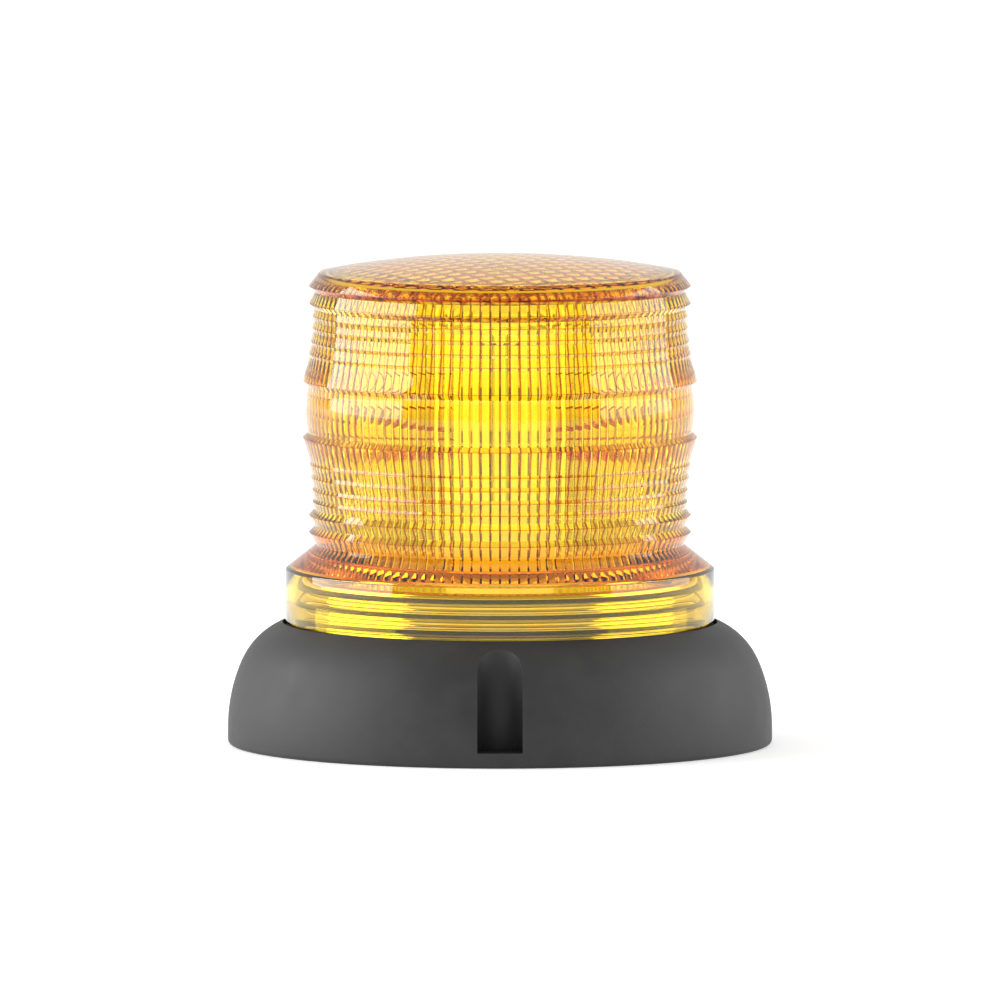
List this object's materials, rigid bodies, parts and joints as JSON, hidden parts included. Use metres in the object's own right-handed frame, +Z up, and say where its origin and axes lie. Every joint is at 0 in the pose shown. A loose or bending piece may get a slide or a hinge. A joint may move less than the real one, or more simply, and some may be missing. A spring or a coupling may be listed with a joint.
{
  "type": "warning beacon",
  "caption": "Battery warning beacon: an amber ribbed lens screwed on a white collar, over a light tower and batteries, on a magnetic base in a domed rubber boot.",
  "frame": {"origin": "centre of the underside, on the surface that the beacon stands on", "axes": "+Z up along the lens axis; the boot's pocket faces -Y"},
  "size_m": [0.14, 0.14, 0.1258],
  "materials": {
    "amber_lens": "clear amber polycarbonate, moulded smooth",
    "boot_rubber": "black rubber with a fine matt grain",
    "seal_rubber": "smooth black seal rubber",
    "black_plastic": "spark-eroded black",
    "white_plastic": "satin white",
    "reflector": "bright metallised plastic",
    "steel": "bright zinc plating",
    "ferrite": "dark ground ferrite",
    "aluminium": "extruded, clear anodised",
    "circuit_board": "green solder mask",
    "cell_sleeve": "plain foil sleeve",
    "red_wire": "smooth wire insulation",
    "led_board": "white solder mask with clear light packages",
    "button_rubber": "orange soft-touch rubber"
  },
  "bodies": {
    "base": {"rubber_boot": "boot_rubber", "base_pad": "seal_rubber", "magnet_cup": "steel", "magnet_ring": "ferrite", "centre_pole": "steel", "base_pan": "black_plastic", "magnet_screw_1": "steel", "magnet_screw_2": "steel", "magnet_screw_3": "steel", "battery_holder": "black_plastic", "battery_1": "cell_sleeve", "battery_2": "cell_sleeve", "battery_3": "cell_sleeve", "battery_4": "cell_sleeve", "contact_spring_1": "steel", "contact_spring_2": "steel", "contact_spring_3": "steel", "contact_spring_4": "steel", "contact_plate_left": "steel", "contact_plate_right": "steel", "battery_cover": "black_plastic", "main_board": "circuit_board", "board_spacer_1": "white_plastic", "board_spacer_2": "white_plastic", "board_spacer_3": "white_plastic", "board_screw_1": "steel", "board_screw_2": "steel", "board_screw_3": "steel", "tact_switch": "black_plastic", "driver_chip": "black_plastic", "capacitor": "aluminium", "battery_wire_red": "red_wire", "battery_wire_black": "seal_rubber", "led_lead": "white_plastic", "collar_deck": "reflector", "seal_ring_1": "seal_rubber", "seal_ring_2": "seal_rubber", "seal_ring_3": "seal_rubber", "housing_screw_1": "steel", "housing_screw_2": "steel", "housing_screw_3": "steel", "tower_post": "white_plastic", "tower_screw_1": "steel", "tower_screw_2": "steel", "tower_screw_3": "steel", "heat_sink": "aluminium", "led_strip_1": "led_board", "led_strip_2": "led_board", "led_strip_3": "led_board", "led_strip_4": "led_board", "led_strip_5": "led_board", "led_strip_6": "led_board", "tower_cap": "white_plastic", "tower_bolt": "steel", "button_spring": "steel"},
    "button": {"power_button": "button_rubber"},
    "gasket": {"lens_gasket": "seal_rubber"},
    "lens": {"lens": "amber_lens"}
  },
  "joints": [
    {"name": "button_press", "type": "slide", "parent": "base", "child": "button", "axis": [0, 0, -1], "range_m": [0, 0.0015], "stiffness_N_per_m": 500, "springref_m": -0.001, "deforming": ["button_spring"]},
    {"name": "lens_rise", "type": "slide", "parent": "base", "child": "gasket", "axis": [0, 0, 1], "range_m": [0, 0.01366]},
    {"name": "lens_turn", "type": "hinge", "parent": "gasket", "child": "lens", "pos_m": [0, 0, 0.0315], "axis": [0, 0, 1], "range_deg": [0, 1260]}
  ],
  "couplings": [
    {"joint": "lens_rise", "follows": "lens_turn", "m_per_rad": 0.0006207}
  ]
}
